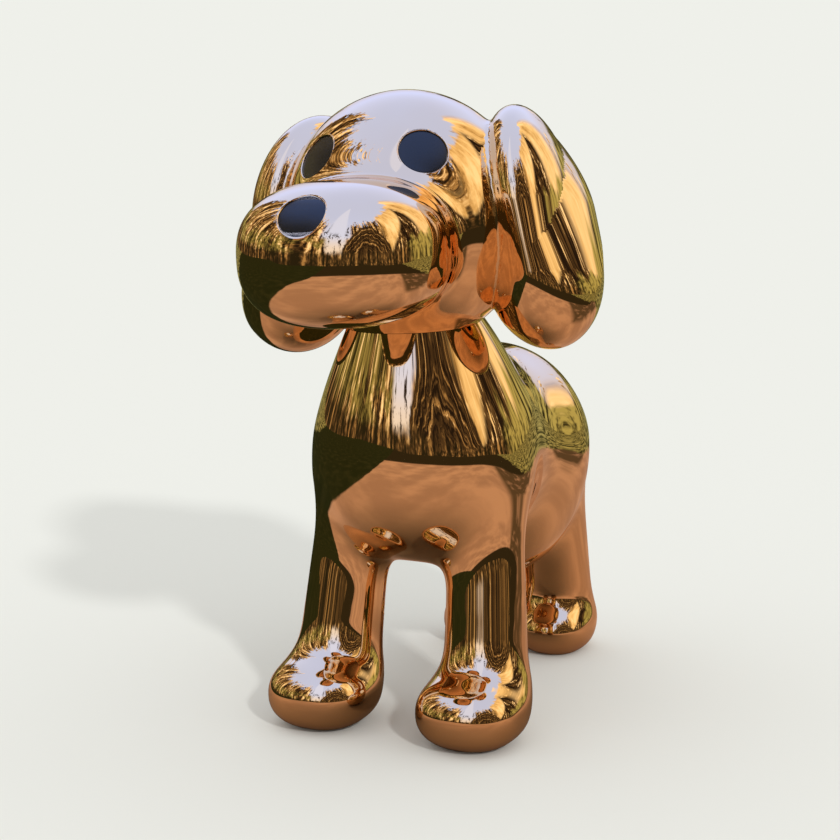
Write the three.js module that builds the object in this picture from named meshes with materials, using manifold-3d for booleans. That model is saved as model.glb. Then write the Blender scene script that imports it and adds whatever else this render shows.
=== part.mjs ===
// Mirror-polished steel puppy that stands on four legs and tilts its head.
// Millimetres, +Z up. The dog looks along -Y and its left side is +X.
// The origin is on the ground, under the middle of the outline.

import * as THREE from "three";
import { MarchingCubes } from "three/addons/objects/MarchingCubes.js";
import { mergeVertices } from "three/addons/utils/BufferGeometryUtils.js";
import Module from "manifold-3d";

// Driving dimensions, in millimetres.
const HEIGHT = 1200; // from the ground to the crown
const EYE_RADIUS = 43;
const NOSE_RADIUS = 42;
const DISC_DEPTH = 9; // how far the dark discs go into the head
const PIECE_GAP = 0.4; // clearance between neighbouring pieces
const SOLE_TRIM = 6; // cut off each paw's round underside to make its flat sole
const FACET = 33; // width of a facet

// Form of the head, in shares of the height, from the middle of its base.
const HEAD = { place: [0, -0.115, 0.678], yaw: 1.3, tilt: -4.2 };
const SKULL = { centre: [0, -0.008, 0.127], radii: [0.189, 0.187, 0.195] };
const MUZZLE = { centre: [0, -0.246, 0.098], radii: [0.145, 0.157, 0.107], power: 2.5, pitch: -3 };
const EAR = { root: [0.181, 0.048, 0.146], lobe: [0, -0.085, -0.071], turn: [17, 35, -11.5] };
const EAR_RADII = [0.144, 0.124]; // of its root and its lobe
const EAR_THICKNESS = [0.53, 0.68]; // of the ear's depth, at its root and at its lobe
const EAR_TAPER_ENDS = [-0.5, 1.3]; // where the thickness stops changing, from root 0 to lobe 1
const EYE_SPOT = [0.087, -0.137, 0.2345];
const NOSE_SPOT = [0, -0.381, 0.1685];

// Form of the body, in shares of the height, from the ground between the shoulders and the rump.
const CHEST = { centre: [0, -0.0815, 0.512], radii: [0.121, 0.153, 0.1615], pitch: -14 };
const NECK = { from: [0, -0.0815, 0.438], to: [0, -0.128, 0.655], radii: [0.161, 0.086] };
const BACK = { from: [0, -0.0815, 0.427], to: [0, 0.195, 0.407], radii: [0.155, 0.157] };
const RUMP = { centre: [0, 0.195, 0.335], radii: [0.152, 0.14, 0.171] };
const TAIL = { from: [0, 0.3, 0.455], to: [0, 0.37, 0.473], radii: [0.03, 0.024] };
const FRONT_LEG = { from: [0.111, -0.093, 0.375], to: [0.1275, -0.13, 0.0935], radii: [0.057, 0.067] };
const HIND_LEG = { from: [0.067, 0.288, 0.3965], to: [0.069, 0.3665, 0.066], radii: [0.057, 0.057] };
const FRONT_PAW = { centre: [0.1275, -0.186], radii: [0.085, 0.091, 0.057], power: 2.3 };
const HIND_PAW = { centre: [0.0695, 0.334], radii: [0.063, 0.071, 0.045], power: 2.3 };

// How far the forms melt into each other, in shares of the height.
const MUZZLE_BLEND = 0.0525;
const EAR_BLEND = 0.012;
const NECK_BLEND = 0.095;
const BACK_BLEND = 0.101;
const PAW_BLEND = 0.065;
const LEG_BLEND = 0.0735;
const TAIL_BLEND = 0.04;

const STEEL = new THREE.MeshStandardMaterial({ color: 0xd9a86a, metalness: 1, roughness: 0.05 });
const DARK = new THREE.MeshStandardMaterial({ color: 0x14161c, metalness: 0.2, roughness: 0.35 });

// Cubes that hold the whole head and the whole body, in shares of the height.
const HEAD_MIDDLE = new THREE.Vector3(0, -0.24, 0.79);
const HEAD_REACH = 0.39;
const BODY_MIDDLE = new THREE.Vector3(0, 0.08, 0.36);
const BODY_REACH = 0.42;

const UP_AXIS = new THREE.Vector3(0, 1, 0); // the axis of a new cylinder
const PLUG_SIDES = 32;
const SPARE_CELLS = 2;
const EVENING_ROUNDS = 6;
const TINY = 1e-6;
const SLOPE_STEP = 1e-3;

const wasm = await Module();
wasm.setup();

// A turn in degrees: roll about Y, then pitch about X, then yaw about Z.
function turned(yaw, pitch, roll) {
  const [x, y, z] = [pitch, roll, yaw].map(THREE.MathUtils.degToRad);
  return new THREE.Matrix4().makeRotationFromEuler(new THREE.Euler(x, y, z, "ZXY"));
}

// A frame at a place, turned, and the matrix that takes points into it.
function frameAt(place, turn) {
  return new THREE.Matrix4().makeTranslation(...place).multiply(turn);
}

// The forms are functions that give a point's distance from a surface, less than 0 inside.
// Rounded block: power 2 is an ellipsoid, more is squarer.
function rounded({ centre, radii, power = 2, pitch = 0 }) {
  const inward = frameAt(centre, turned(0, pitch, 0)).invert();
  const local = new THREE.Vector3();
  return (point) => {
    local.copy(point).applyMatrix4(inward);
    const x = Math.abs(local.x / radii[0]) + TINY;
    const y = Math.abs(local.y / radii[1]) + TINY;
    const z = Math.abs(local.z / radii[2]) + TINY;
    const sum = x ** power + y ** power + z ** power;
    const slope = Math.hypot(
      x ** (power - 1) / radii[0],
      y ** (power - 1) / radii[1],
      z ** (power - 1) / radii[2],
    );
    return (sum ** (1 / power) - 1) / (slope * sum ** (1 / power - 1));
  };
}

// Limb with round ends, from one ball to another of its own radius.
function limb({ from, to, radii }) {
  const start = new THREE.Vector3(...from);
  const axis = new THREE.Vector3(...to).sub(start);
  const length = axis.length();
  axis.normalize();
  const sine = (radii[0] - radii[1]) / length;
  const cosine = Math.sqrt(1 - sine * sine);
  const local = new THREE.Vector3();
  return (point) => {
    local.copy(point).sub(start);
    const along = local.dot(axis);
    const out = Math.sqrt(Math.max(local.lengthSq() - along * along, 0));
    const foot = along - (out * sine) / cosine;
    if (foot < 0) return Math.hypot(along, out) - radii[0];
    if (foot > length) return Math.hypot(along - length, out) - radii[1];
    return out * cosine + along * sine - radii[0];
  };
}

// Smooth union of two forms.
function melt(a, b, reach) {
  const overlap = Math.max(reach - Math.abs(a - b), 0) / reach;
  return Math.min(a, b) - (reach * overlap ** 3) / 6;
}

// The same form on both sides of the middle plane.
function paired(form) {
  const half = new THREE.Vector3();
  return (point) => form(half.set(Math.abs(point.x), point.y, point.z));
}

const headFrame = frameAt(HEAD.place, turned(HEAD.yaw, 0, HEAD.tilt));

// Hanging ear: a limb pressed flat, thinner at its root than at its lobe.
function ear() {
  const inward = frameAt(EAR.root, turned(...EAR.turn)).invert();
  const flap = limb({ from: [0, 0, 0], to: EAR.lobe, radii: EAR_RADII });
  const local = new THREE.Vector3();
  return (point) => {
    local.copy(point).applyMatrix4(inward);
    const share = THREE.MathUtils.clamp(local.z / EAR.lobe[2], ...EAR_TAPER_ENDS);
    const thickness = THREE.MathUtils.lerp(...EAR_THICKNESS, share);
    local.x /= thickness;
    return flap(local) * thickness;
  };
}

function headForm() {
  const inward = headFrame.clone().invert();
  const local = new THREE.Vector3();
  const skull = rounded(SKULL);
  const muzzle = rounded(MUZZLE);
  const ears = paired(ear());
  return (point) => {
    local.copy(point).applyMatrix4(inward);
    return melt(melt(skull(local), muzzle(local), MUZZLE_BLEND), ears(local), EAR_BLEND);
  };
}

// A paw whose underside dips below the ground by the sole's trim.
function paw({ centre, radii, power }) {
  const sole = radii[2] - SOLE_TRIM / HEIGHT;
  return rounded({ centre: [...centre, sole], radii, power });
}

function bodyForm() {
  const [chest, rump] = [rounded(CHEST), rounded(RUMP)];
  const [neck, back, tail] = [limb(NECK), limb(BACK), limb(TAIL)];
  const legs = [
    [limb(FRONT_LEG), paw(FRONT_PAW)],
    [limb(HIND_LEG), paw(HIND_PAW)],
  ].map(([leg, foot]) => paired((point) => melt(leg(point), foot(point), PAW_BLEND)));
  return (point) => {
    const front = melt(chest(point), neck(point), NECK_BLEND);
    const rear = melt(rump(point), back(point), BACK_BLEND);
    const trunk = melt(melt(front, rear, BACK_BLEND), tail(point), TAIL_BLEND);
    return legs.reduce((form, leg) => melt(form, leg(point), LEG_BLEND), trunk);
  };
}

// The direction in which the distance from a form grows fastest, and how fast.
function slope(form, point) {
  const probe = new THREE.Vector3();
  const rise = ["x", "y", "z"].map((axis) => {
    const ahead = form(probe.copy(point).setComponent("xyz".indexOf(axis), point[axis] + SLOPE_STEP));
    const behind = form(probe.copy(point).setComponent("xyz".indexOf(axis), point[axis] - SLOPE_STEP));
    return (ahead - behind) / (2 * SLOPE_STEP);
  });
  return new THREE.Vector3(...rise);
}

// Moves a point onto the surface of a form.
function settle(form, point, steps = 2) {
  for (let step = 0; step < steps; step++) {
    const rise = slope(form, point);
    point.addScaledVector(rise, -form(point) / Math.max(rise.lengthSq(), TINY));
  }
  return point;
}

// Evens out the facets: each corner moves to the middle of its neighbours, then back onto the form.
function evenOut(geometry, form, rounds) {
  const { position } = geometry.attributes;
  const corners = geometry.index.array;
  const around = Array.from({ length: position.count }, () => new Set());
  for (let i = 0; i < corners.length; i += 3) {
    const [a, b, c] = corners.subarray(i, i + 3);
    around[a].add(b).add(c);
    around[b].add(c).add(a);
    around[c].add(a).add(b);
  }
  const point = new THREE.Vector3();
  const neighbour = new THREE.Vector3();
  for (let round = 0; round < rounds; round++) {
    const before = position.clone();
    around.forEach((neighbours, i) => {
      point.set(0, 0, 0);
      neighbours.forEach((n) => point.add(neighbour.fromBufferAttribute(before, n)));
      point.divideScalar(neighbours.size);
      settle(form, point, 1);
      position.setXYZ(i, point.x, point.y, point.z);
    });
  }
}

// The faceted skin of a form that fits in a cube around a middle point, in millimetres.
function skin(form, middle, reach) {
  const cells = 2 * (Math.ceil((reach * HEIGHT) / FACET) + SPARE_CELLS);
  const span = (cells * FACET) / (2 * HEIGHT);
  const cubes = new MarchingCubes(cells, STEEL, false, false, 12 * cells * cells);
  cubes.isolation = 0;
  const point = new THREE.Vector3();
  for (let k = 0; k < cells; k++) {
    for (let j = 0; j < cells; j++) {
      for (let i = 0; i < cells; i++) {
        point.set(i, j, k).multiplyScalar(2 / cells).subScalar(1);
        point.multiplyScalar(span).add(middle);
        cubes.field[i + cells * (j + cells * k)] = -form(point) || TINY;
      }
    }
  }
  cubes.update();
  const corners = cubes.positionArray.slice(0, 3 * cubes.geometry.drawRange.count);
  const loose = new THREE.BufferGeometry();
  loose.setAttribute("position", new THREE.BufferAttribute(corners, 3));
  loose.scale(span, span, span).translate(...middle);
  const geometry = mergeVertices(loose, TINY);
  evenOut(geometry, form, EVENING_ROUNDS);
  return geometry.scale(HEIGHT, HEIGHT, HEIGHT);
}

// Solids for joins and cuts.
function solid(geometry) {
  const bare = new THREE.BufferGeometry().setAttribute("position", geometry.attributes.position);
  const merged = mergeVertices(bare.setIndex(geometry.index), TINY);
  const vertProperties = merged.attributes.position.array;
  const triVerts = new Uint32Array(merged.index.array);
  return new wasm.Manifold(new wasm.Mesh({ numProp: 3, vertProperties, triVerts }));
}

function meshOf(name, shape, material) {
  const { vertProperties, triVerts } = shape.getMesh();
  const geometry = new THREE.BufferGeometry();
  geometry.setAttribute("position", new THREE.BufferAttribute(vertProperties, 3));
  geometry.setIndex(new THREE.BufferAttribute(triVerts, 1));
  geometry.computeVertexNormals();
  const mesh = new THREE.Mesh(geometry, material);
  mesh.name = name;
  return mesh;
}

// The skin moved outwards by a clearance.
function swollen(geometry, form, clearance) {
  const grown = geometry.clone();
  const { position } = grown.attributes;
  const point = new THREE.Vector3();
  for (let i = 0; i < position.count; i++) {
    point.fromBufferAttribute(position, i);
    const outward = slope(form, point.clone().divideScalar(HEIGHT)).normalize();
    point.addScaledVector(outward, clearance);
    position.setXYZ(i, point.x, point.y, point.z);
  }
  return grown;
}

// Round plug along the head's surface normal at a spot, from a depth below the surface to clear outside.
function plug(form, spot, radius, depth) {
  const place = settle(form, new THREE.Vector3(...spot).applyMatrix4(headFrame), 8);
  const outward = slope(form, place).normalize();
  const length = depth + radius;
  const shape = new THREE.CylinderGeometry(radius, radius, length, PLUG_SIDES);
  shape.translate(0, length / 2 - depth, 0);
  shape.applyQuaternion(new THREE.Quaternion().setFromUnitVectors(UP_AXIS, outward));
  place.multiplyScalar(HEIGHT);
  return solid(shape.translate(place.x, place.y, place.z));
}

// The dog's head, cut out for its three discs.
const head = headForm();
const headSkin = skin(head, HEAD_MIDDLE, HEAD_REACH);
const discs = [
  { name: "left_eye", spot: EYE_SPOT, radius: EYE_RADIUS },
  { name: "right_eye", spot: [-EYE_SPOT[0], EYE_SPOT[1], EYE_SPOT[2]], radius: EYE_RADIUS },
  { name: "nose", spot: NOSE_SPOT, radius: NOSE_RADIUS },
];
const headSolid = solid(headSkin);
let headShell = headSolid;
const dog = new THREE.Group();
discs.forEach(({ name, spot, radius }) => {
  const pocket = plug(head, spot, radius + PIECE_GAP, DISC_DEPTH + PIECE_GAP);
  headShell = headShell.subtract(pocket);
  dog.add(meshOf(name, headSolid.intersect(plug(head, spot, radius, DISC_DEPTH)), DARK));
});
dog.add(meshOf("head", headShell, STEEL));

// The body, cut flat under the paws and hollowed at the neck's top to seat the head.
const below = new THREE.BoxGeometry(4 * HEIGHT, 4 * HEIGHT, HEIGHT).translate(0, 0, -HEIGHT / 2);
const bodySolid = solid(skin(bodyForm(), BODY_MIDDLE, BODY_REACH))
  .subtract(solid(below))
  .subtract(solid(swollen(headSkin, head, PIECE_GAP)));
dog.add(meshOf("body", bodySolid, STEEL));

// The origin goes to the ground under the middle of the outline.
const outline = new THREE.Box3().setFromObject(dog, true);
const middle = outline.getCenter(new THREE.Vector3());
dog.position.set(-middle.x, -middle.y, -outline.min.z);

export default dog;
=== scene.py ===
"""Mirror-polished steel puppy with a warm gold tint, and dark round discs for its eyes and nose.

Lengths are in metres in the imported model's frame: the dog stands on z = 0, looks along -Y, and its
left is +X. The forms of the head and the body are in shares of the height, and melt into each other.
"""

import logging
import math
from dataclasses import dataclass, field
from enum import Enum
from functools import reduce
from typing import Callable, Sequence

import bmesh
import bpy
import numpy as np
from mathutils import Matrix, Vector


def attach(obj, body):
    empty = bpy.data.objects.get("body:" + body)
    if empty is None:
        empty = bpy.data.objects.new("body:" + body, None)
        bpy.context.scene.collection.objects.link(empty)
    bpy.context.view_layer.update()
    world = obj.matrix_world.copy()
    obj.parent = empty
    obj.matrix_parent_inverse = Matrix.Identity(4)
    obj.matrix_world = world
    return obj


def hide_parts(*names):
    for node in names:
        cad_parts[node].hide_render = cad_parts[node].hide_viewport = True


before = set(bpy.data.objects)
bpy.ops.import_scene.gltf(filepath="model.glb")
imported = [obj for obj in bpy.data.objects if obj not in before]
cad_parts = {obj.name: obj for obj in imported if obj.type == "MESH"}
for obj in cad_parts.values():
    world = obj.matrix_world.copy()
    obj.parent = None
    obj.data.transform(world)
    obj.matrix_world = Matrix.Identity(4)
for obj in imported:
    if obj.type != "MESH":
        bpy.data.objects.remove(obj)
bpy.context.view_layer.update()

log = logging.getLogger("puppy")

Triple = tuple[float, float, float]
Span = tuple[float, float]
Distance = Callable[[np.ndarray], np.ndarray]
Socket = bpy.types.NodeSocket
Piece = bpy.types.Object
Finish = bpy.types.Material
Mesh = bpy.types.Mesh
BMesh = bmesh.types.BMesh
Stops = Sequence[float]

HEIGHT = 1.2  # from the ground to the crown
TINY = 1e-9
SLOPE_STEP = 1e-4  # half of the way over which a slope is measured
CUT_REACH = 1e-6  # how near to the ground a vertex counts as on it
ROUGH_DETAIL = 4  # subdivisions of a rough ball
ROUGH_SIDES = 48  # sides of a rough limb
FIRST_STEPS = 4  # steps of a rough mesh onto its form
LAST_STEPS = 2  # steps of an evened mesh onto its form
EVENING_ROUNDS = 10
SPOT_STEPS = 8  # steps of a disc's spot onto the head
RIM_STEPS = 5  # steps of a disc's or lip's vertices onto the head
ON_FORM = 4e-4  # how near to its form a vertex counts as on it
AGREEMENT = 0.5  # least cosine between a face's normal and its form's
SHARP_ANGLE = 40  # degrees between faces, above which an edge of a disc is sharp


class Slot(Enum):
    """Material slots of the part's record."""

    STEEL = "mirror_steel"
    DISC = "dark_disc"


class Side(Enum):
    """Side of the dog, as a sign of x."""

    LEFT = 1
    RIGHT = -1


# Forms: each gives the distance of points from its surface, and a rough solid to start a mesh from.


def turned(yaw: float, pitch: float, roll: float) -> Matrix:
    """A turn in degrees: roll about Y, then pitch about X, then yaw about Z."""
    about_z = Matrix.Rotation(math.radians(yaw), 4, "Z")
    about_x = Matrix.Rotation(math.radians(pitch), 4, "X")
    return about_z @ about_x @ Matrix.Rotation(math.radians(roll), 4, "Y")


def moved(points: np.ndarray, change: Matrix) -> np.ndarray:
    """Points, one in each row, after a change of frame."""
    grid = np.array(change)
    return points @ grid[:3, :3].T + grid[:3, 3]


def add_ball(bm: BMesh, change: Matrix, radius: float = 1.0) -> None:
    """Adds a round ball to a rough solid, after a change of frame."""
    bmesh.ops.create_icosphere(bm, subdivisions=ROUGH_DETAIL, radius=radius, matrix=change)


def add_drum(bm: BMesh, sides: int, radii: Span, depth: float, change: Matrix) -> None:
    """Adds a closed drum about z, with a radius at each end, after a change of frame."""
    ends = {"radius1": radii[0], "radius2": radii[1], "depth": depth}
    bmesh.ops.create_cone(bm, cap_ends=True, segments=sides, matrix=change, **ends)


@dataclass(frozen=True)
class RoundedBlock:
    """Ellipsoid, or a squarer block with round sides where its power is above 2."""

    centre: Triple
    radii: Triple
    power: float = 2.0
    pitch: float = 0.0

    def place(self) -> Matrix:
        """The block's own frame."""
        return Matrix.Translation(self.centre) @ turned(0, self.pitch, 0)

    def distance(self, points: np.ndarray) -> np.ndarray:
        """Distance of points from the surface, less than 0 inside.

        Args:
            points: one point in each row.

        Returns:
            One distance for each point.
        """
        radii = np.array(self.radii)
        share = np.abs(moved(points, self.place().inverted())) / radii + TINY
        total = (share**self.power).sum(1)
        climb = np.linalg.norm(share ** (self.power - 1) / radii, axis=1)
        return (total ** (1 / self.power) - 1) / (climb * total ** (1 / self.power - 1))

    def rough(self, bm: BMesh, outer: Matrix) -> None:
        """Adds the block to a rough solid that stands in an outer frame."""
        add_ball(bm, outer @ self.place() @ Matrix.Diagonal((*self.radii, 1)))


@dataclass(frozen=True)
class Limb:
    """Limb with round ends, from one ball to another of its own radius."""

    start: Triple
    end: Triple
    radii: Span

    def distance(self, points: np.ndarray) -> np.ndarray:
        """Distance of points from the surface, less than 0 inside.

        Args:
            points: one point in each row.

        Returns:
            One distance for each point.
        """
        first, last = self.radii
        axis = np.subtract(self.end, self.start)
        length = float(np.linalg.norm(axis))
        local = points - np.array(self.start)
        along = local @ (axis / length)
        out = np.sqrt(np.maximum((local**2).sum(1) - along**2, 0))
        sine = (first - last) / length
        cosine = math.sqrt(1 - sine * sine)
        foot = along - out * sine / cosine
        side = out * cosine + along * sine - first
        near = np.hypot(along, out) - first
        far = np.hypot(along - length, out) - last
        return np.where(foot < 0, near, np.where(foot > length, far, side))

    def rough(self, bm: BMesh, outer: Matrix) -> None:
        """Adds the limb to a rough solid that stands in an outer frame."""
        start, end = Vector(self.start), Vector(self.end)
        add_ball(bm, outer @ Matrix.Translation(start), self.radii[0])
        add_ball(bm, outer @ Matrix.Translation(end), self.radii[1])
        lean = (end - start).to_track_quat("Z", "Y").to_matrix().to_4x4()
        middle = outer @ Matrix.Translation((start + end) / 2) @ lean
        add_drum(bm, ROUGH_SIDES, self.radii, (end - start).length, middle)


def melt(a: np.ndarray, b: np.ndarray, reach: float) -> np.ndarray:
    """Distances from two forms that melt into each other where they differ by less than a reach."""
    overlap = np.maximum(reach - np.abs(a - b), 0) / reach
    return np.minimum(a, b) - reach * overlap**3 / 6


def mirrored(points: np.ndarray) -> np.ndarray:
    """Points on either side of the middle plane, brought to the left side."""
    return np.column_stack([np.abs(points[:, 0]), points[:, 1], points[:, 2]])


def slope(form: Distance, points: np.ndarray) -> np.ndarray:
    """The direction in which the distance from a form grows fastest, and how fast, at each point."""
    steps = np.eye(3) * SLOPE_STEP
    rise = [form(points + step) - form(points - step) for step in steps]
    return np.column_stack(rise) / (2 * SLOPE_STEP)


def settled(form: Distance, points: np.ndarray, rounds: int) -> np.ndarray:
    """Points moved onto the surface of a form.

    Args:
        form: the form's distance.
        points: one point in each row.
        rounds: how often the points step towards the surface.

    Returns:
        The moved points.
    """
    for _ in range(rounds):
        rise = slope(form, points)
        reach = form(points) / np.maximum((rise**2).sum(1), TINY)
        points = points - rise * reach[:, None]
    return points


def outward(form: Distance, points: np.ndarray) -> np.ndarray:
    """Unit normals of a form's surface at points."""
    rise = slope(form, points)
    return rise / np.linalg.norm(rise, axis=1)[:, None]


# Meshes


def vertices_of(mesh: Mesh) -> np.ndarray:
    """A mesh's vertices, one in each row."""
    flat = np.zeros(len(mesh.vertices) * 3)
    mesh.vertices.foreach_get("co", flat)
    return flat.reshape(-1, 3)


def put_vertices(mesh: Mesh, points: np.ndarray) -> None:
    """Moves a mesh's vertices to points."""
    mesh.vertices.foreach_set("co", points.ravel())
    mesh.update()


def object_of(name: str, bm: BMesh) -> Piece:
    """Makes an object at the origin from a finished bmesh, and frees the bmesh."""
    mesh = bpy.data.meshes.new(name)
    bm.to_mesh(mesh)
    bm.free()
    made = bpy.data.objects.new(name, mesh)
    bpy.context.scene.collection.objects.link(made)
    return made


def round_over(bm: BMesh, edges: list[bmesh.types.BMEdge], width: float, segments: int) -> None:
    """Rounds edges over, and turns all faces outwards."""
    style = {"offset_type": "OFFSET", "profile": 0.5, "affect": "EDGES", "material": -1}
    bmesh.ops.bevel(bm, geom=edges, offset=width, segments=segments, **style)
    bmesh.ops.recalc_face_normals(bm, faces=bm.faces)


def apply_modifiers(piece: Piece) -> None:
    """Puts the result of a piece's modifiers into its mesh."""
    graph = bpy.context.evaluated_depsgraph_get()
    result = bpy.data.meshes.new_from_object(piece.evaluated_get(graph))
    piece.modifiers.clear()
    piece.data = result
    result.name = piece.name


def cut(piece: Piece, cutter: Piece) -> None:
    """Takes a closed cutter out of a piece and deletes the cutter."""
    knife = piece.modifiers.new("cut", "BOOLEAN")
    knife.operation = "DIFFERENCE"
    knife.solver = "EXACT"
    knife.object = cutter
    apply_modifiers(piece)
    bpy.data.objects.remove(cutter)


def even_out(mesh: Mesh, form: Distance) -> None:
    """Evens out a mesh: each vertex moves to the middle of its neighbours, then back onto the form.

    Args:
        mesh: the mesh, already near the form.
        form: the form's distance, in the mesh's own lengths.
    """
    points = settled(form, vertices_of(mesh), FIRST_STEPS)
    ends = np.zeros(len(mesh.edges) * 2, dtype=np.int64)
    mesh.edges.foreach_get("vertices", ends)
    here, there = np.concatenate([ends.reshape(-1, 2), ends.reshape(-1, 2)[:, ::-1]]).T
    count = len(points)
    neighbours = np.bincount(here, minlength=count)[:, None]
    for _ in range(EVENING_ROUNDS):
        sums = [np.bincount(here, weights=points[there, axis], minlength=count) for axis in range(3)]
        points = settled(form, np.column_stack(sums) / neighbours, 1)
    put_vertices(mesh, settled(form, points, LAST_STEPS))


def skin(name: str, rough: BMesh, form: Distance, grain: float) -> Piece:
    """Fine closed skin of a form.

    Args:
        name: name of the new object.
        rough: overlapping rough solids, in metres.
        form: the form's distance, in metres.
        grain: width of a mesh face.

    Returns:
        The object, with its vertices on the form.
    """
    piece = object_of(name, rough)
    remesh = piece.modifiers.new("skin", "REMESH")
    remesh.mode = "VOXEL"
    remesh.voxel_size = grain
    apply_modifiers(piece)
    even_out(piece.data, form)
    return piece


def polish(mesh: Mesh, form: Distance) -> None:
    """Gives the faces on a form the form's own exact normals, so that reflections run clean.

    Args:
        mesh: the mesh, of which every other face keeps its flat normal.
        form: the form's distance, in the mesh's own lengths.
    """
    points = vertices_of(mesh)
    exact = outward(form, points)
    near = np.abs(form(points)) < ON_FORM
    corners = np.zeros(len(mesh.loops), dtype=np.int64)
    mesh.loops.foreach_get("vertex_index", corners)
    counts = np.zeros(len(mesh.polygons), dtype=np.int64)
    mesh.polygons.foreach_get("loop_total", counts)
    flat = np.zeros(len(mesh.polygons) * 3)
    mesh.polygons.foreach_get("normal", flat)
    face_of = np.repeat(np.arange(len(counts)), counts)
    faces = flat.reshape(-1, 3)[face_of]
    agrees = near[corners] & ((faces * exact[corners]).sum(1) > AGREEMENT)
    whole = np.bincount(face_of, weights=~agrees, minlength=len(counts))[face_of] == 0
    mesh.polygons.foreach_set("use_smooth", np.ones(len(counts), dtype=bool))
    mesh.normals_split_custom_set(np.where(whole[:, None], exact[corners], faces).tolist())


# Finishes


@dataclass(frozen=True)
class Pattern:
    """Soft noise: how fine it is, how much detail it has, and how it is stretched and moved."""

    scale: float
    detail: float
    stretch: Triple = (1, 1, 1)
    place: Triple = (0, 0, 0)


@dataclass(frozen=True)
class Band:
    """Range of a value, and how far each end of it fades out."""

    low: float
    high: float
    soft: float


class Graph:
    """A short way to write the nodes of one material or world."""

    def __init__(self, tree: bpy.types.NodeTree) -> None:
        """Starts from an empty tree."""
        self.tree = tree
        tree.nodes.clear()

    def node(self, kind: str, inputs: dict | None = None, **settings: object) -> bpy.types.Node:
        """Adds a node.

        Args:
            kind: type of the node, without its first words.
            inputs: a plain value or another node's output for each named or numbered socket.
            **settings: properties of the node.

        Returns:
            The new node.
        """
        made = self.tree.nodes.new("ShaderNode" + kind)
        for name, value in settings.items():
            setattr(made, name, value)
        for name, value in (inputs or {}).items():
            if isinstance(value, Socket):
                self.tree.links.new(value, made.inputs[name])
            else:
                made.inputs[name].default_value = value
        return made

    def sum(self, kind: str, *values: object) -> Socket:
        """One sum with numbers or sockets, such as ADD or ARCTAN2."""
        return self.node("Math", dict(enumerate(values)), operation=kind).outputs[0]

    def product(self, *values: Socket) -> Socket:
        """All values multiplied."""
        return reduce(lambda first, second: self.sum("MULTIPLY", first, second), values)

    def jagged(self, value: Socket, roughness: Socket, size: float) -> Socket:
        """A value made uneven: lower by up to a size where the roughness is up to 1."""
        return self.sum("MULTIPLY_ADD", roughness, -size, value)

    def mean(self, first: Socket, second: Socket, share: float) -> Socket:
        """Two values added, with a share of the second and the rest of the first."""
        return self.sum("ADD", self.sum("MULTIPLY", first, 1 - share), self.sum("MULTIPLY", second, share))

    def noise(self, vector: Socket, pattern: Pattern) -> Socket:
        """Soft noise from 0 to 1 over a vector."""
        moves = {"Vector": vector, "Scale": pattern.stretch, "Location": pattern.place}
        place = self.node("Mapping", moves).outputs[0]
        inputs = {"Vector": place, "Scale": pattern.scale, "Detail": pattern.detail}
        return self.node("TexNoise", inputs).outputs["Fac"]

    def bump(self, height: Socket, depth: float) -> Socket:
        """Normals of a surface that a height from 0 to 1 makes uneven, by up to a depth."""
        return self.node("Bump", {"Height": height, "Strength": 1.0, "Distance": depth}).outputs[0]

    def fade(self, value: Socket, low: float, high: float) -> Socket:
        """Goes smoothly from 0 at the low end to 1 at the high end; the low end may be the larger."""
        ends = {"Value": value, "From Min": low, "From Max": high}
        return self.node("MapRange", ends, interpolation_type="SMOOTHSTEP").outputs[0]

    def band(self, value: Socket, band: Band) -> Socket:
        """1 where a value lies in a band, and 0 outside it."""
        rising = self.fade(value, band.low - band.soft, band.low + band.soft)
        return self.product(rising, self.fade(value, band.high + band.soft, band.high - band.soft))

    def blend(self, share: object, first: object, second: object) -> Socket:
        """Mixes a share of the second colour into the first; each is three numbers or a socket."""
        pair = ((*colour, 1.0) if isinstance(colour, tuple) else colour for colour in (first, second))
        return self.node("Mix", {0: share, **dict(zip((6, 7), pair))}, data_type="RGBA").outputs[2]

    def ramp(self, value: Socket, stops: Stops, colours: Sequence[Triple]) -> Socket:
        """A row of colours, each at its stop along a value from 0 to 1."""
        made = self.node("ValToRGB", {0: value})
        row = made.color_ramp.elements
        while len(row) < len(stops):
            row.new(0.5)
        for element, stop, colour in zip(row, stops, colours):
            element.position = stop
            element.color = (*colour, 1.0)
        return made.outputs[0]


def new_material(name: str) -> tuple[Finish, Graph, Socket]:
    """Starts a material.

    Args:
        name: the material's name.

    Returns:
        The material, its graph, and the place of a point on the piece.
    """
    made = bpy.data.materials.new(name)
    made.use_nodes = True
    graph = Graph(made.node_tree)
    return made, graph, graph.node("TexCoord").outputs["Object"]


def shade(graph: Graph, inputs: dict) -> None:
    """Ends a material with one surface shader that has these inputs."""
    shader = graph.node("BsdfPrincipled", inputs)
    graph.node("OutputMaterial", {"Surface": shader.outputs[0]})


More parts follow.
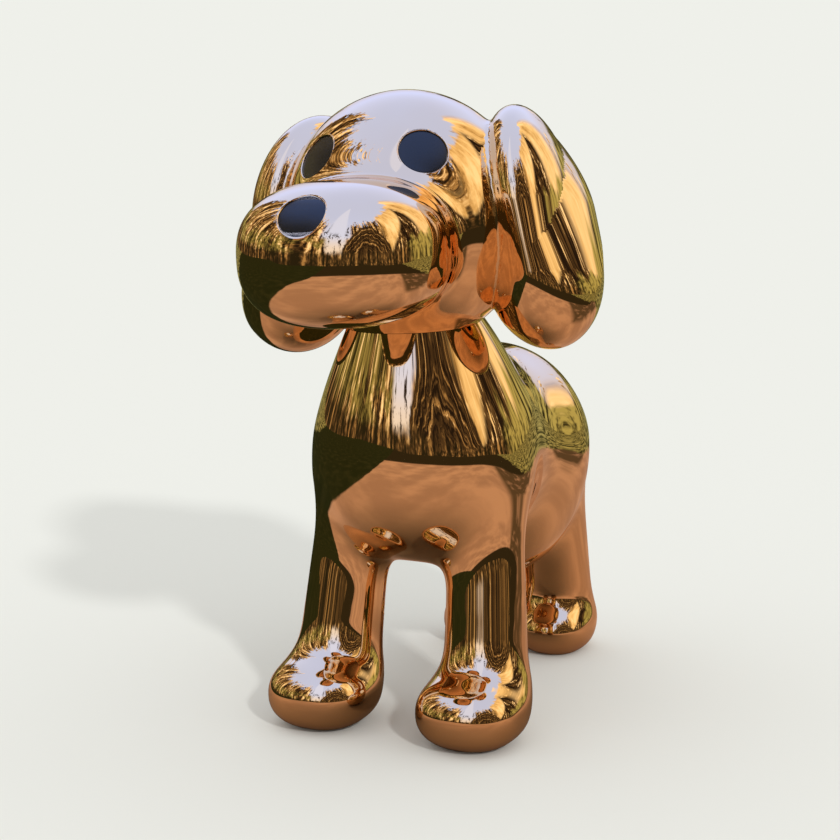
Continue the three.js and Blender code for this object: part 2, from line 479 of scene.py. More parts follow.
@dataclass(frozen=True)
class MirrorSteel:
    """Steel polished to a mirror under a thin clear gold tint."""

    tint: Triple = (0.955, 0.675, 0.385)
    deep_tint: Triple = (0.925, 0.62, 0.33)
    patches: Pattern = Pattern(3.1, 3.0)
    patch_fade: Span = (0.35, 0.75)
    roughness: float = 0.022
    haze: float = 0.02
    wiping: Pattern = Pattern(26.0, 4.0, (1.0, 1.0, 0.25))
    haze_fade: Span = (0.56, 0.86)
    wave: float = 0.0017
    waves: Pattern = Pattern(6.5, 1.5)

    def make(self) -> Finish:
        """Makes the material: patches of deeper tint, a little haze from wiping, and slow waves."""
        made, graph, place = new_material("gold_mirror_steel")
        patches = graph.fade(graph.noise(place, self.patches), *self.patch_fade)
        hazy = graph.fade(graph.noise(place, self.wiping), *self.haze_fade)
        colour = graph.blend(patches, self.tint, self.deep_tint)
        roughness = graph.sum("MULTIPLY_ADD", hazy, self.haze, self.roughness)
        normal = graph.bump(graph.noise(place, self.waves), self.wave)
        shade(graph, {"Base Color": colour, "Metallic": 1.0, "Roughness": roughness, "Normal": normal})
        return made


@dataclass(frozen=True)
class SatinDark:
    """Smooth blue-black enamel with a satin gloss."""

    colour: Triple = (0.0024, 0.0036, 0.0060)
    patch_colour: Triple = (0.0040, 0.0052, 0.0080)
    clouds: Pattern = Pattern(38.0, 3.0)
    roughness: float = 0.27
    unevenness: float = 0.06
    grain: Pattern = Pattern(900.0, 2.0)
    grain_depth: float = 0.00002

    def make(self) -> Finish:
        """Makes the material: a faint cloudiness in the colour and the gloss, and a very fine grain."""
        made, graph, place = new_material("satin_dark_enamel")
        clouds = graph.noise(place, self.clouds)
        colour = graph.blend(clouds, self.colour, self.patch_colour)
        roughness = graph.sum("MULTIPLY_ADD", clouds, self.unevenness, self.roughness)
        normal = graph.bump(graph.noise(place, self.grain), self.grain_depth)
        shade(graph, {"Base Color": colour, "Roughness": roughness, "Normal": normal})
        return made


@dataclass(frozen=True)
class PaleFloor:
    """Matt pale studio floor."""

    colour: Triple = (0.84, 0.848, 0.80)

    def make(self) -> Finish:
        """Makes the material."""
        made, graph, _ = new_material("pale_floor")
        shade(graph, {"Base Color": (*self.colour, 1.0), "Roughness": 1.0, "Specular IOR Level": 0.0})
        return made


@dataclass(frozen=True)
class Stone:
    """Cloudy warm paving: painted shade that darkens it towards the dog, a darker mottled corner on the
    dog's left behind it, dark where it ends.
    """

    stone: Triple = (0.40, 0.235, 0.160)
    stone_light: Triple = (0.56, 0.335, 0.225)
    swirls: Pattern = Pattern(1.3, 5.0, (1.0, 1.6, 1.0))
    swirl_fade: Span = (0.38, 0.66)
    # a darker mottled patch in the corner on the dog's left, behind it
    patch_colour: Triple = (0.10, 0.065, 0.036)
    corner_aside: Span = (0.9, 1.2)
    corner_along: Span = (0.15, 0.45)
    mottling: Pattern = Pattern(2.2, 5.0)
    mottling_fade: Span = (0.2, 0.52)
    # painted shade: the colour that the stone darkens to near the dog, standing in for its shadow and the
    # shade under it
    painted_shade: Triple = (0.15, 0.10, 0.064)
    painted_shade_reach: Span = (0.80, 0.10)
    verge: Triple = (0.030, 0.023, 0.011)
    verge_reach: Span = (3.25, 3.6)

    def colour(self, graph: Graph, place: Socket) -> Socket:
        """The colour of the stone at a place on the sheet."""
        aside, along, _ = graph.node("SeparateXYZ", {0: place}).outputs
        swirls = graph.fade(graph.noise(place, self.swirls), *self.swirl_fade)
        mottling = graph.fade(graph.noise(place, self.mottling), *self.mottling_fade)
        corner = graph.product(graph.fade(aside, *self.corner_aside), graph.fade(along, *self.corner_along))
        far = graph.node("VectorMath", {0: place}, operation="LENGTH").outputs["Value"]
        paved = graph.blend(swirls, self.stone, self.stone_light)
        # the corner on the dog's left, behind it, turns darker in mottled patches
        paved = graph.blend(graph.product(corner, mottling), paved, self.patch_colour)
        # painted shade under the dog: the stone darkens the nearer it is to the dog
        paved = graph.blend(graph.fade(far, *self.painted_shade_reach), paved, self.painted_shade)
        return graph.blend(graph.fade(far, *self.verge_reach), paved, self.verge)


@dataclass(frozen=True)
class Paving:
    """Warm paving between a shaded lawn and a sunlit one, which only the mirror finish shows."""

    stone: Stone = Stone()
    grass: Triple = (0.020, 0.024, 0.008)
    grass_light: Triple = (0.034, 0.036, 0.013)
    sunlit: Triple = (0.46, 0.43, 0.16)
    blades: Pattern = Pattern(3.0, 3.0)
    shaded_fade: Span = (0.4, 0.75)
    sunlit_fade: Span = (0.35, 0.7)
    wander: Pattern = Pattern(2.5, 3.0)
    lawn_edge: Span = (-0.75, -0.81)
    lawn_wander: float = 0.12
    bank_edge: Span = (3.0, 3.3)
    bank_wander: float = 0.9

    def make(self) -> Finish:
        """Makes the material: cloudy stone, a lawn on the dog's right, and a bright one behind it."""
        made, graph, place = new_material("paving_and_grass")
        aside, along, _ = graph.node("SeparateXYZ", {0: place}).outputs
        blades = graph.noise(place, self.blades)
        wander = graph.noise(place, self.wander)
        lawn = graph.blend(graph.fade(blades, *self.shaded_fade), self.grass, self.grass_light)
        lawn_side = graph.sum("MULTIPLY_ADD", wander, self.lawn_wander, aside)
        stone = self.stone.colour(graph, place)
        ground = graph.blend(graph.fade(lawn_side, *self.lawn_edge), stone, lawn)
        bright = graph.blend(graph.fade(blades, *self.sunlit_fade), self.grass_light, self.sunlit)
        bank_side = graph.sum("MULTIPLY_ADD", wander, self.bank_wander, along)
        ground = graph.blend(graph.fade(bank_side, *self.bank_edge), ground, bright)
        shade(graph, {"Base Color": ground, "Roughness": 1.0, "Specular IOR Level": 0.0})
        return made


# The head, the body and the discs


@dataclass(frozen=True)
class Ear:
    """Left hanging ear: a limb pressed flat, thinner at its root than at its lobe."""

    root: Triple = (0.181, 0.048, 0.146)
    turn: Triple = (17, 35, -11.5)
    flap: Limb = Limb((0, 0, 0), (0, -0.085, -0.071), (0.144, 0.124))
    thickness: Span = (0.53, 0.68)
    taper_ends: Span = (-0.5, 1.3)

    def own_frame(self) -> Matrix:
        """The ear's frame in the head's frame."""
        return Matrix.Translation(self.root) @ turned(*self.turn)

    def distance(self, points: np.ndarray) -> np.ndarray:
        """Distance of points from the ear, less than 0 inside.

        Args:
            points: one point in each row, in the head's frame.

        Returns:
            One distance for each point.
        """
        local = moved(points, self.own_frame().inverted())
        share = np.clip(local[:, 2] / self.flap.end[2], *self.taper_ends)
        at_root, at_lobe = self.thickness
        thickness = at_root + (at_lobe - at_root) * share
        local[:, 0] /= thickness
        return self.flap.distance(local) * thickness

    def rough(self, bm: BMesh, outer: Matrix) -> None:
        """Adds the ear to a rough solid that stands in an outer frame."""
        slim = Matrix.Diagonal((sum(self.thickness) / 2, 1, 1, 1))
        self.flap.rough(bm, outer @ self.own_frame() @ slim)


@dataclass
class Head:
    """Skull, muzzle and two hanging ears in one skin, tilted on the neck, with a pocket for each disc."""

    place: Triple = (0, -0.115, 0.678)
    yaw: float = 1.3
    tilt: float = -4.2
    skull: RoundedBlock = RoundedBlock((0, -0.008, 0.127), (0.189, 0.187, 0.195))
    muzzle: RoundedBlock = RoundedBlock((0, -0.246, 0.098), (0.145, 0.157, 0.107), 2.5, -3)
    ear: Ear = field(default_factory=Ear)
    muzzle_blend: float = 0.0525
    ear_blend: float = 0.012
    grain: float = 0.0065

    def own_frame(self) -> Matrix:
        """The head's frame, from the middle of its base."""
        return Matrix.Translation(self.place) @ turned(self.yaw, 0, self.tilt)

    def shares(self, points: np.ndarray) -> np.ndarray:
        """Distance of points from the head, all in shares of the height."""
        local = moved(points, self.own_frame().inverted())
        face = melt(self.skull.distance(local), self.muzzle.distance(local), self.muzzle_blend)
        return melt(face, self.ear.distance(mirrored(local)), self.ear_blend)

    def distance(self, points: np.ndarray) -> np.ndarray:
        """Distance of points from the head, in metres."""
        return self.shares(points / HEIGHT) * HEIGHT

    def build(self, name: str) -> Piece:
        """Makes the head's closed skin."""
        bm = bmesh.new()
        outer = Matrix.Scale(HEIGHT, 4) @ self.own_frame()
        self.skull.rough(bm, outer)
        self.muzzle.rough(bm, outer)
        for side in (Side.LEFT, Side.RIGHT):
            self.ear.rough(bm, outer @ Matrix.Diagonal((side.value, 1, 1, 1)))
        bmesh.ops.recalc_face_normals(bm, faces=bm.faces)
        return skin(name, bm, self.distance, self.grain)


@dataclass
class Body:
    """Chest, neck, back, rump, tail and four legs with round paws, in one skin on flat soles."""

    chest: RoundedBlock = RoundedBlock((0, -0.0815, 0.512), (0.121, 0.153, 0.1615), 2, -14)
    neck: Limb = Limb((0, -0.0815, 0.438), (0, -0.128, 0.655), (0.161, 0.086))
    back: Limb = Limb((0, -0.0815, 0.427), (0, 0.195, 0.407), (0.155, 0.157))
    rump: RoundedBlock = RoundedBlock((0, 0.195, 0.335), (0.152, 0.14, 0.171))
    tail: Limb = Limb((0, 0.3, 0.455), (0, 0.37, 0.473), (0.03, 0.024))
    front_leg: Limb = Limb((0.111, -0.093, 0.375), (0.1275, -0.13, 0.0935), (0.057, 0.067))
    hind_leg: Limb = Limb((0.067, 0.288, 0.3965), (0.069, 0.3665, 0.066), (0.057, 0.057))
    front_paw: RoundedBlock = RoundedBlock((0.1275, -0.186, 0.052), (0.085, 0.091, 0.057), 2.3)
    hind_paw: RoundedBlock = RoundedBlock((0.0695, 0.334, 0.04), (0.063, 0.071, 0.045), 2.3)
    neck_blend: float = 0.095
    back_blend: float = 0.101
    paw_blend: float = 0.065
    leg_blend: float = 0.0735
    tail_blend: float = 0.04
    grain: float = 0.0065
    seat_gap: float = 0.0004

    def shares(self, points: np.ndarray) -> np.ndarray:
        """Distance of points from the body, all in shares of the height."""
        front = melt(self.chest.distance(points), self.neck.distance(points), self.neck_blend)
        rear = melt(self.rump.distance(points), self.back.distance(points), self.back_blend)
        trunk = melt(melt(front, rear, self.back_blend), self.tail.distance(points), self.tail_blend)
        left = mirrored(points)
        legs = [
            melt(self.front_leg.distance(left), self.front_paw.distance(left), self.paw_blend),
            melt(self.hind_leg.distance(left), self.hind_paw.distance(left), self.paw_blend),
        ]
        return reduce(lambda form, leg: melt(form, leg, self.leg_blend), legs, trunk)

    def distance(self, points: np.ndarray) -> np.ndarray:
        """Distance of points from the body, in metres."""
        return self.shares(points / HEIGHT) * HEIGHT

    def build(self, name: str, head: Piece, head_form: Distance) -> Piece:
        """Makes the body.

        Args:
            name: name of the new object.
            head: the head's closed skin, which the neck's top is hollowed out for.
            head_form: the head's distance.

        Returns:
            The body, cut flat under its paws and hollowed at the neck's top.
        """
        bm = bmesh.new()
        outer = Matrix.Scale(HEIGHT, 4)
        for form in (self.chest, self.neck, self.back, self.rump, self.tail):
            form.rough(bm, outer)
        for side in (Side.LEFT, Side.RIGHT):
            flip = Matrix.Diagonal((side.value, 1, 1, 1))
            for form in (self.front_leg, self.front_paw, self.hind_leg, self.hind_paw):
                form.rough(bm, outer @ flip)
        bmesh.ops.recalc_face_normals(bm, faces=bm.faces)
        piece = skin(name, bm, self.distance, self.grain)
        self.flatten_soles(piece.data)
        seat = head.copy()
        seat.data = head.data.copy()
        bpy.context.scene.collection.objects.link(seat)
        points = vertices_of(seat.data)
        put_vertices(seat.data, points + outward(head_form, points) * self.seat_gap)
        cut(piece, seat)
        return piece

    def flatten_soles(self, mesh: Mesh) -> None:
        """Cuts the paws off flat at the ground and closes them."""
        bm = bmesh.new()
        bm.from_mesh(mesh)
        everything = [*bm.verts, *bm.edges, *bm.faces]
        ground = {"plane_co": (0, 0, 0), "plane_no": (0, 0, -1), "dist": CUT_REACH}
        bmesh.ops.bisect_plane(bm, geom=everything, clear_outer=True, **ground)
        open_edges = [edge for edge in bm.edges if edge.is_boundary]
        bmesh.ops.holes_fill(bm, edges=open_edges, sides=0)
        bmesh.ops.recalc_face_normals(bm, faces=bm.faces)
        bm.to_mesh(mesh)
        bm.free()


@dataclass
class Disc:
    """Dark disc in a pocket of the head, with the polished lip that goes round it."""

    name: str
    spot: Triple
    radius: float
    depth: float = 0.009
    lip: float = 0.0034
    lip_roundness: float = 0.9
    lip_segments: int = 8
    recess: float = 0.0030
    edge: float = 0.0007
    edge_segments: int = 3
    gap: float = 0.0002
    segments: int = 128
    rings: int = 10
    middle_rings: float = 0.6
    axes: Matrix = field(default_factory=lambda: Matrix.Identity(4))

    def settle(self, head: Head) -> None:
        """Puts the disc's frame on the head's surface, with its own z pointing outwards."""
        start = np.array([head.own_frame() @ Vector(self.spot)]) * HEIGHT
        point = settled(head.distance, start, SPOT_STEPS)
        normal = Vector(outward(head.distance, point)[0])
        self.axes = Matrix.Translation(point[0]) @ normal.to_track_quat("Z", "Y").to_matrix().to_4x4()

    def raise_to(self, head: Head, verts: Sequence[bmesh.types.BMVert], depth: float) -> None:
        """Moves vertices along the disc's axis until they are a depth below the head's surface."""
        axis = np.array(self.axes.to_3x3() @ Vector((0, 0, 1)))
        points = np.array([vert.co for vert in verts])
        for _ in range(RIM_STEPS):
            climb = slope(head.distance, points) @ axis
            points = points - axis * (head.distance(points) / climb)[:, None]
        for vert, point in zip(verts, points - axis * depth):
            vert.co = point

    def pocket(self) -> Piece:
        """Cutter for the head, as wide as the lip."""
        bm = bmesh.new()
        height = self.depth + self.radius
        width = self.radius + self.lip
        middle = self.axes @ Matrix.Translation((0, 0, height / 2 - self.depth))
        add_drum(bm, self.segments, (width, width), height, middle)
        return object_of(self.name + "_pocket", bm)

    def build_lip(self, head: Head) -> Piece:
        """Makes the lip: a ring with a round inner edge that starts level with the head's surface.

        Args:
            head: the head that the lip follows.

        Returns:
            The lip as a closed ring.
        """
        bm = bmesh.new()
        inner, outer, foot = self.radius, self.radius + self.lip, -self.depth
        bmesh.ops.create_circle(bm, segments=self.segments, radius=outer, matrix=self.axes)
        loops = [list(bm.edges)]
        for scale, lift in ((inner / outer, 0.0), (1.0, foot), (outer / inner, 0.0)):
            grown = bmesh.ops.extrude_edge_only(bm, edges=loops[-1])["geom"]
            verts = [item for item in grown if isinstance(item, bmesh.types.BMVert)]
            bmesh.ops.scale(bm, vec=(scale, scale, 1), space=self.axes.inverted(), verts=verts)
            bmesh.ops.translate(bm, vec=(0, 0, lift), space=self.axes.inverted(), verts=verts)
            loops.append([item for item in grown if isinstance(item, bmesh.types.BMEdge)])
        bmesh.ops.bridge_loops(bm, edges=[*loops[0], *loops[3]])
        for loop in loops[:2]:
            self.raise_to(head, list({vert for edge in loop for vert in edge.verts}), 0.0)
        round_over(bm, loops[1], self.lip * self.lip_roundness, self.lip_segments)
        return object_of(self.name + "_lip", bm)

    def build(self, head: Head) -> Piece:
        """Makes the disc, whose face follows the head's surface a little below it.

        Args:
            head: the head that holds the disc.

        Returns:
            The disc.
        """
        bm = bmesh.new()
        radius = self.radius - self.gap
        middle = self.axes @ Matrix.Translation((0, 0, -self.depth / 2))
        add_drum(bm, self.segments, (radius, radius), self.depth, middle)
        axis = self.axes.to_3x3() @ Vector((0, 0, 1))
        bm.normal_update()
        face = max(bm.faces, key=lambda item: item.normal.dot(axis) * item.calc_area())
        rim = list(face.edges)
        width = radius / (self.rings + self.middle_rings)
        for _ in range(self.rings):
            bmesh.ops.inset_region(bm, faces=[face], thickness=width, use_even_offset=True)
        bmesh.ops.poke(bm, faces=[face])
        inverse = self.axes.inverted()
        top = [vert for vert in bm.verts if (inverse @ vert.co).z > -self.depth / 2]
        self.raise_to(head, top, self.recess)
        round_over(bm, rim, self.edge, self.edge_segments)
        return object_of(self.name, bm)


def join(piece: Piece, other: Piece) -> None:
    """Puts another object's mesh into a piece and deletes the other."""
    bm = bmesh.new()
    bm.from_mesh(piece.data)
    bm.from_mesh(other.data)
    bm.to_mesh(piece.data)
    bm.free()
    bpy.data.objects.remove(other)


def dress(piece: Piece, finish: Finish, node: str) -> None:
    """Gives a piece its finish and its place in the frame.

    Args:
        piece: the finished piece.
        finish: its material.
        node: the CAD node that the piece stands for.
    """
    piece.data.materials.clear()
    piece.data.materials.append(finish)
    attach(piece, "root")
    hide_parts(node)
    log.info("%s: %d faces", piece.name, len(piece.data.polygons))


@dataclass
class Puppy:
    """The whole dog."""

    head: Head = field(default_factory=Head)
    body: Body = field(default_factory=Body)
    eye_spot: Triple = (0.087, -0.137, 0.2345)
    nose_spot: Triple = (0, -0.381, 0.1685)
    eye_radius: float = 0.043
    nose_radius: float = 0.042

    def discs(self) -> list[Disc]:
        """The two eyes and the nose."""
        x, y, z = self.eye_spot
        return [
            Disc("left_eye", (x, y, z), self.eye_radius),
            Disc("right_eye", (-x, y, z), self.eye_radius),
            Disc("nose", self.nose_spot, self.nose_radius),
        ]

    def build(self) -> None:
        """Makes, dresses and places every piece, with the origin under the middle of the outline."""
        steel, dark = MirrorSteel().make(), SatinDark().make()
        head = self.head.build("puppy_head")
        body = self.body.build("puppy_body", head, self.head.distance)
        polish(body.data, self.body.distance)
        made = [(body, steel, Slot.STEEL, "body")]
        lips = []
        for disc in self.discs():
            disc.settle(self.head)
            cut(head, disc.pocket())
            lips.append(disc.build_lip(self.head))
            made.append((disc.build(self.head), dark, Slot.DISC, disc.name))
        for lip in lips:
            join(head, lip)
        polish(head.data, self.head.distance)
        made.append((head, steel, Slot.STEEL, "head"))
        outline = np.concatenate([vertices_of(head.data), vertices_of(body.data)])
        middle = (outline.min(0) + outline.max(0)) / 2
        for piece, finish, slot, node in made:
            if finish is dark:
                piece.data.shade_smooth()
                piece.data.set_sharp_from_angle(angle=math.radians(SHARP_ANGLE))
            piece.data.transform(Matrix.Translation((-middle[0], -middle[1], 0)))
            piece.name = "dressed_" + node
            dress(piece, finish, node)


# The studio


@dataclass(frozen=True)
class PhotoCamera:
    """Camera at the photograph's viewing angle."""

    place: Triple = (1.6449, -3.7828, 1.3795)
    yaw: float = 23.83
    down: float = 11.0975
    lens: float = 94.286
    sensor: float = 36.0
    far_end: float = 2000.0

    def make(self) -> None:
        """Makes the camera and hands it to the scene."""
        data = bpy.data.cameras.new("photo_camera")
        data.lens = self.lens
        data.sensor_width = self.sensor
        data.clip_end = self.far_end
        camera = bpy.data.objects.new("photo_camera", data)
        camera.location = self.place
        camera.rotation_euler = (math.radians(90 - self.down), 0, math.radians(self.yaw))
        bpy.context.scene.collection.objects.link(camera)
        bpy.context.scene.camera = camera


# The surroundings, in degrees: bearing 0 is ahead of the dog, 90 is on its left; height 0 is level.

RADIAN = 57.3  # degrees
BARK: Triple = (0.020, 0.013, 0.009)
BROWN: Triple = (0.12, 0.075, 0.034)
AMBER: Triple = (0.48, 0.31, 0.13)
GLARE: Triple = (1.30, 1.10, 0.75)
LEAF_SHADE: Triple = (0.035, 0.032, 0.012)
LOW_SKY: Triple = (0.74, 1.00, 1.95)


class Outlook(Graph):
    """The world's nodes, with the direction that the mirror looks in and the shared patterns."""

    ragged_pattern = Pattern(6.0, 8.0, (1, 1, 0.8))
    streak_pattern = Pattern(15.0, 8.0, (1, 1, 0.16))
    speck_pattern = Pattern(34.0, 6.0, (1, 1, 0.6), (3, 1, 2))
    speck_share = 0.38

    def __init__(self, tree: bpy.types.NodeTree) -> None:
        """Works out the direction and the patterns."""
        super().__init__(tree)
        split = self.node("SeparateXYZ", {0: self.node("TexCoord").outputs["Generated"]})
        x, y, self.rise = (split.outputs[axis] for axis in "XYZ")
        self.height = self.sum("DEGREES", self.sum("ARCSINE", self.rise))
        self.bearing = self.sum("DEGREES", self.sum("ARCTAN2", x, self.sum("MULTIPLY", y, -1.0)))
        level = self.node("CombineXYZ", {0: x, 1: y}).outputs[0]
        around = self.node("VectorMath", {0: level}, operation="NORMALIZE").outputs[0]
        climb = self.node("CombineXYZ", {2: self.sum("DIVIDE", self.height, RADIAN)}).outputs[0]
        self.ring = self.node("VectorMath", {0: around, 1: climb}, operation="ADD").outputs[0]
        self.ragged = self.noise(self.ring, self.ragged_pattern)
        self.specks = self.noise(self.ring, self.speck_pattern)
        self.mixed = self.mean(self.noise(self.ring, self.streak_pattern), self.specks, self.speck_share)


@dataclass(frozen=True)
class Sky:
    """Sky, deeper blue high up and misty low down."""

    high: Triple = (0.60, 0.85, 1.82)
    misty: Triple = (0.70, 0.74, 0.95)
    deepening: Span = (0.3, 0.95)
    clearing: Span = (0.12, 0.50)

    def colour(self, seen: Outlook) -> Socket:
        """The colour of the sky."""
        clear = seen.blend(seen.fade(seen.rise, *self.deepening), LOW_SKY, self.high)
        return seen.blend(seen.fade(seen.rise, *self.clearing), self.misty, clear)


@dataclass(frozen=True)
class Trees:
    """Trees ahead and on both sides, with an open gap and a hazy slit ahead of the dog."""

    leaf: Triple = (0.40, 0.36, 0.12)
    wood_stops: Stops = (0.42, 0.48, 0.54, 0.60)
    leaf_stops: Stops = (0.42, 0.56, 0.63)
    clumps: Pattern = Pattern(3.2, 4.0, (1, 1, 0.7), (7, 5, 1))
    clump_fade: Span = (0.46, 0.56)
    leafy: Band = Band(-150, 20, 20)
    leafy_height: Span = (34, 16)
    wooded: Band = Band(-129, 150, 8)
    low_top: float = 8
    tall: float = 42
    roughness: float = 40
    top_fade: Span = (-42, -38)
    gap: Band = Band(-12, 26, 4)
    gap_height: Span = (20, 27)
    gap_fade: Span = (0.44, 0.49)
    haze: Triple = (0.95, 0.98, 1.15)
    haze_height: Span = (5, 30)
    slit: Band = Band(-6, 19, 3)
    slit_height: Span = (1, 6)
    slit_fade: Span = (0.43, 0.51)
    slit_clear: Span = (24, 36)

    def colour(self, seen: Outlook) -> Socket:
        """The colour of the trees: wood, and clumps of leaves low on the dog's right."""
        wood = seen.ramp(seen.mixed, self.wood_stops, (BARK, BROWN, AMBER, GLARE))
        leaves = seen.ramp(seen.mixed, self.leaf_stops, (LEAF_SHADE, self.leaf, GLARE))
        clumps = seen.fade(seen.noise(seen.ring, self.clumps), *self.clump_fade)
        low = seen.fade(seen.height, *self.leafy_height)
        return seen.blend(seen.product(clumps, seen.band(seen.bearing, self.leafy), low), wood, leaves)

    def over(self, seen: Outlook, view: Socket) -> Socket:
        """The view with the trees in front."""
        top = seen.sum("MULTIPLY_ADD", seen.band(seen.bearing, self.wooded), self.tall, self.low_top)
        above = seen.sum("SUBTRACT", seen.height, top)
        above = seen.jagged(above, seen.ragged, self.roughness)
        above = seen.jagged(above, seen.specks, self.roughness)
        gap = seen.product(
            seen.band(seen.bearing, self.gap),
            seen.fade(seen.height, *self.gap_height),
            seen.fade(seen.mixed, *self.gap_fade),
        )
        open_sky = seen.sum("MAXIMUM", seen.fade(above, *self.top_fade), gap)
        wooded = seen.blend(open_sky, self.colour(seen), view)
        thin = seen.fade(seen.mixed, *self.slit_fade)
        slit = seen.product(
            seen.band(seen.bearing, self.slit),
            seen.fade(seen.height, *self.slit_height),
            seen.sum("MAXIMUM", thin, seen.fade(seen.height, *self.slit_clear)),
        )
        hazy = seen.blend(seen.fade(seen.height, *self.haze_height), self.haze, LOW_SKY)
        return seen.blend(slit, wooded, hazy)


@dataclass(frozen=True)
class Walls:
    """Lit walls on the dog's left, with a dark recess that leans over."""

    plaster: Triple = (0.72, 0.50, 0.21)
    plaster_light: Triple = (1.08, 0.86, 0.48)
    plaster_stops: Stops = (0.36, 0.42, 0.52, 0.62)
    folds: Pattern = Pattern(6.0, 3.0, (1, 1, 0.45), (2, 6, 4))
    fine_share: float = 0.35
    walled: Band = Band(84, 166, 6)
    roughness: float = 22
    eaves: Span = (49, 44)
    recess: Band = Band(88, 141, 4)
    recess_lean: Span = (-82, -90)
    recess_fade: Span = (0.62, 0.57)
    recess_light: Span = (0.47, 0.54)

    def over(self, seen: Outlook, view: Socket) -> Socket:
        """The view with the walls in front."""
        faced = seen.mean(seen.noise(seen.ring, self.folds), seen.mixed, self.fine_share)
        colours = (BROWN, self.plaster, self.plaster_light, GLARE)
        plaster = seen.ramp(faced, self.plaster_stops, colours)
        eaves = seen.jagged(seen.height, seen.ragged, self.roughness)
        walled = seen.product(seen.band(seen.bearing, self.walled), seen.fade(eaves, *self.eaves))
        recess = seen.product(
            seen.band(seen.bearing, self.recess),
            seen.fade(seen.sum("SUBTRACT", seen.height, seen.bearing), *self.recess_lean),
            seen.fade(seen.mixed, *self.recess_fade),
        )
        shadow = seen.blend(seen.fade(seen.mixed, *self.recess_light), BARK, BROWN)
        return seen.blend(recess, seen.blend(walled, view, plaster), shadow)


@dataclass(frozen=True)
class Arch:
    """Dark arch between the trees and the walls, with arcs of light in it."""

    middle: float = 52
    narrowing: float = 0.030
    roughness: float = 20
    top: Span = (38, 34)
    rings: Pattern = Pattern(17.0, 3.0)
    fine_share: float = 0.3
    stops: Stops = (0.47, 0.54, 0.60, 0.66)

    def over(self, seen: Outlook, view: Socket) -> Socket:
        """The view with the arch in front."""
        aside = seen.sum("SUBTRACT", seen.bearing, self.middle)
        above = seen.sum("MULTIPLY_ADD", seen.product(aside, aside), self.narrowing, seen.height)
        above = seen.jagged(above, seen.ragged, self.roughness)
        outwards = seen.node("CombineXYZ", {0: seen.sum("DIVIDE", above, RADIAN)}).outputs[0]
        arcs = seen.mean(seen.noise(outwards, self.rings), seen.mixed, self.fine_share)
        dusky = seen.ramp(arcs, self.stops, (BARK, BROWN, AMBER, GLARE))
        return seen.blend(seen.fade(above, *self.top), view, dusky)


@dataclass(frozen=True)
class GroundEdge:
    """Sunlit bank behind the dog, and a dark verge where the ground ends all round."""

    bank: Triple = (0.50, 0.47, 0.16)
    bank_bearing: Span = (112, 124)
    bank_roughness: float = 22
    bank_height: Span = (1, -4)
    bank_light: Span = (0.42, 0.56)
    hedge: Triple = (0.024, 0.020, 0.010)
    verge: Band = Band(-165, 122, 10)
    verge_roughness: float = 14
    verge_height: Span = (0, -6)
    verge_stops: Stops = (0.47, 0.55, 0.61)

    def over(self, seen: Outlook, view: Socket) -> Socket:
        """The view with the bank and the verge in front."""
        bank_top = seen.jagged(seen.height, seen.ragged, self.bank_roughness)
        behind = seen.fade(seen.sum("ABSOLUTE", seen.bearing), *self.bank_bearing)
        banked = seen.product(behind, seen.fade(bank_top, *self.bank_height))
        bank = seen.blend(seen.fade(seen.mixed, *self.bank_light), LEAF_SHADE, self.bank)
        verge_top = seen.jagged(seen.height, seen.ragged, self.verge_roughness)
        low = seen.fade(verge_top, *self.verge_height)
        verged = seen.product(low, seen.band(seen.bearing, self.verge))
        verge = seen.ramp(seen.mixed, self.verge_stops, (self.hedge, BROWN, AMBER))
        return seen.blend(verged, seen.blend(banked, view, bank), verge)


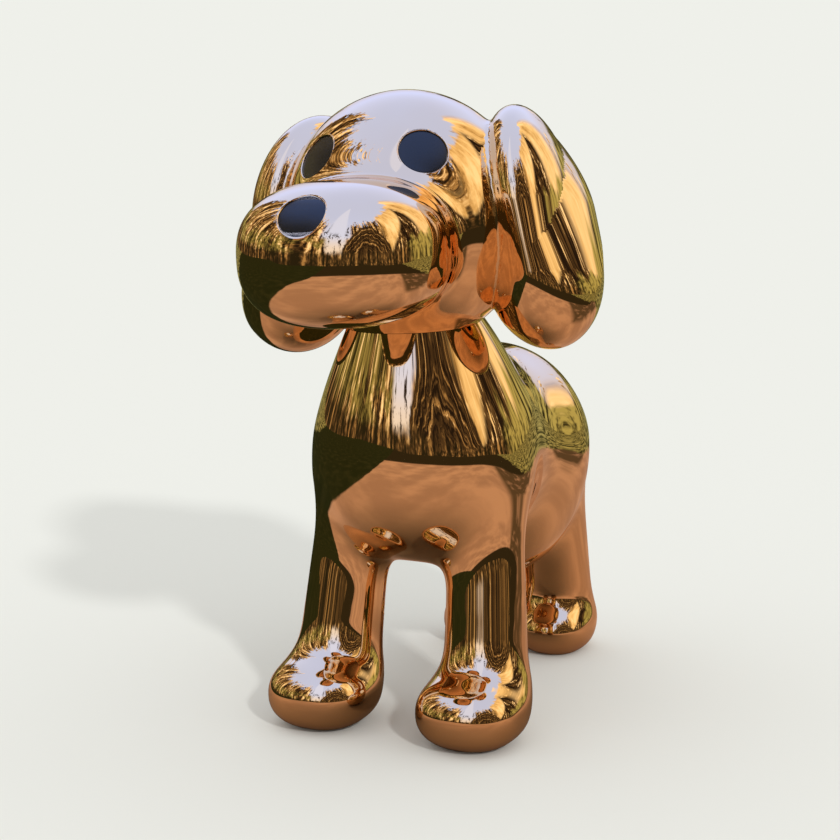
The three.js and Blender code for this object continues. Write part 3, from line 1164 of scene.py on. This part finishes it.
@dataclass(frozen=True)
class Surroundings:
    """Sky, trees, walls and ground that the mirror finish shows, with an even pale light for the floor."""

    pale: Triple = (0.8388, 0.8469, 0.7991)
    even_light: float = 0.86
    sky: Sky = Sky()
    trees: Trees = Trees()
    walls: Walls = Walls()
    arch: Arch = Arch()
    edge: GroundEdge = GroundEdge()

    def colour(self, seen: Outlook) -> Socket:
        """The colour of the surroundings in each direction."""
        view = self.sky.colour(seen)
        for part in (self.trees, self.walls, self.arch, self.edge):
            view = part.over(seen, view)
        return view

    def make(self) -> None:
        """Makes the world: the mirror sees the surroundings, floor and camera see an even pale light."""
        world = bpy.data.worlds.new("surroundings")
        world.use_nodes = True
        world.cycles.sampling_method = "NONE"
        bpy.context.scene.world = world
        graph = Outlook(world.node_tree)
        seen = graph.node("Background", {"Color": self.colour(graph)}).outputs[0]
        even = graph.node("Background", {"Color": (1, 1, 1, 1), "Strength": self.even_light}).outputs[0]
        pale = graph.node("Background", {"Color": (*self.pale, 1)}).outputs[0]
        ray = graph.node("LightPath").outputs
        lit = graph.node("MixShader", {0: ray["Is Diffuse Ray"], 1: seen, 2: even}).outputs[0]
        whole = graph.node("MixShader", {0: ray["Is Camera Ray"], 1: lit, 2: pale}).outputs[0]
        graph.node("OutputWorld", {"Surface": whole})


@dataclass(frozen=True)
class Studio:
    """Pale floor, soft sun, and the paving that the mirror finish shows."""

    floor_reach: float = 400.0
    paving_reach: float = 12.0
    paving_lift: float = 0.0004
    sun_azimuth: float = 47.0
    sun_height: float = 32.0
    sun_power: float = 1.0
    sun_softness: float = 4.0

    def sheet(self, name: str, reach: float, height: float, finish: Finish) -> Piece:
        """Makes a flat square sheet for the studio, which is not part of the dog.

        Args:
            name: name of the new object.
            reach: half of its side.
            height: its height above the ground.
            finish: its material.

        Returns:
            The sheet.
        """
        bm = bmesh.new()
        lift = Matrix.Translation((0, 0, height))
        bmesh.ops.create_grid(bm, x_segments=1, y_segments=1, size=reach, matrix=lift)
        made = object_of(name, bm)
        made.data.materials.append(finish)
        return made

    def make(self) -> None:
        """Makes the floor, the paving and the sun."""
        floor = self.sheet("floor", self.floor_reach, 0.0, PaleFloor().make())
        floor.visible_glossy = False
        paving = self.sheet("paving", self.paving_reach, self.paving_lift, Paving().make())
        paving.visible_camera = False
        paving.visible_diffuse = False
        paving.visible_shadow = False
        lamp = bpy.data.lights.new("soft_sun", "SUN")
        lamp.energy = self.sun_power
        lamp.angle = math.radians(self.sun_softness)
        sun = bpy.data.objects.new("soft_sun", lamp)
        sun.rotation_euler = (math.radians(90 - self.sun_height), 0, math.radians(self.sun_azimuth))
        sun.visible_glossy = False
        bpy.context.scene.collection.objects.link(sun)
        view = bpy.context.scene.view_settings
        view.view_transform = "Standard"
        view.look = "None"


def main() -> None:
    """Builds the scene in order."""
    logging.basicConfig(level=logging.INFO, format="%(message)s")
    PhotoCamera().make()
    Surroundings().make()
    Studio().make()
    Puppy().build()


if __name__ == "__main__":
    main()
